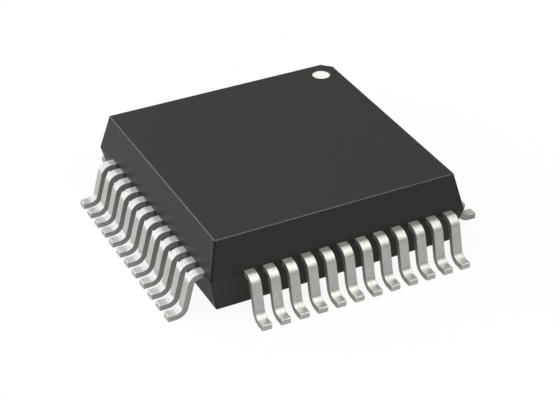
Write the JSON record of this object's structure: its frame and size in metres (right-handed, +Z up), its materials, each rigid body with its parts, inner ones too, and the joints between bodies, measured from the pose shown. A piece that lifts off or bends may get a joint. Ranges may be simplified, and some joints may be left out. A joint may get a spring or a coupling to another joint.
{
  "type": "quad flat pack chip",
  "caption": "Square moulded chip with gull-wing leads on every side and a marked corner, for surface mounting on a circuit board.",
  "frame": {"origin": "centre of the square body's footprint, on the plane of the lead feet", "axes": "+Z up, away from the board. The marked corner and lead 1 are at -X +Y, and leads 25 to 36 point along +X."},
  "size_m": [0.009, 0.009, 0.0021],
  "materials": {
    "moulding_compound": "matte",
    "white_ink": "matte",
    "tin_plate": "satin",
    "copper_alloy": "satin",
    "silver_adhesive": "matte",
    "silicon": "gloss",
    "gold_wire": "gloss"
  },
  "bodies": {
    "root": {"body": "moulding_compound", "index_mark": "white_ink", "lead_01": "tin_plate", "lead_02": "tin_plate", "lead_03": "tin_plate", "lead_04": "tin_plate", "lead_05": "tin_plate", "lead_06": "tin_plate", "lead_07": "tin_plate", "lead_08": "tin_plate", "lead_09": "tin_plate", "lead_10": "tin_plate", "lead_11": "tin_plate", "lead_12": "tin_plate", "lead_13": "tin_plate", "lead_14": "tin_plate", "lead_15": "tin_plate", "lead_16": "tin_plate", "lead_17": "tin_plate", "lead_18": "tin_plate", "lead_19": "tin_plate", "lead_20": "tin_plate", "lead_21": "tin_plate", "lead_22": "tin_plate", "lead_23": "tin_plate", "lead_24": "tin_plate", "lead_25": "tin_plate", "lead_26": "tin_plate", "lead_27": "tin_plate", "lead_28": "tin_plate", "lead_29": "tin_plate", "lead_30": "tin_plate", "lead_31": "tin_plate", "lead_32": "tin_plate", "lead_33": "tin_plate", "lead_34": "tin_plate", "lead_35": "tin_plate", "lead_36": "tin_plate", "lead_37": "tin_plate", "lead_38": "tin_plate", "lead_39": "tin_plate", "lead_40": "tin_plate", "lead_41": "tin_plate", "lead_42": "tin_plate", "lead_43": "tin_plate", "lead_44": "tin_plate", "lead_45": "tin_plate", "lead_46": "tin_plate", "lead_47": "tin_plate", "lead_48": "tin_plate", "die_pad": "copper_alloy", "die_attach": "silver_adhesive", "die": "silicon", "bond_wires_01_12": "gold_wire", "bond_wires_13_24": "gold_wire", "bond_wires_25_36": "gold_wire", "bond_wires_37_48": "gold_wire"}
  },
  "joints": []
}
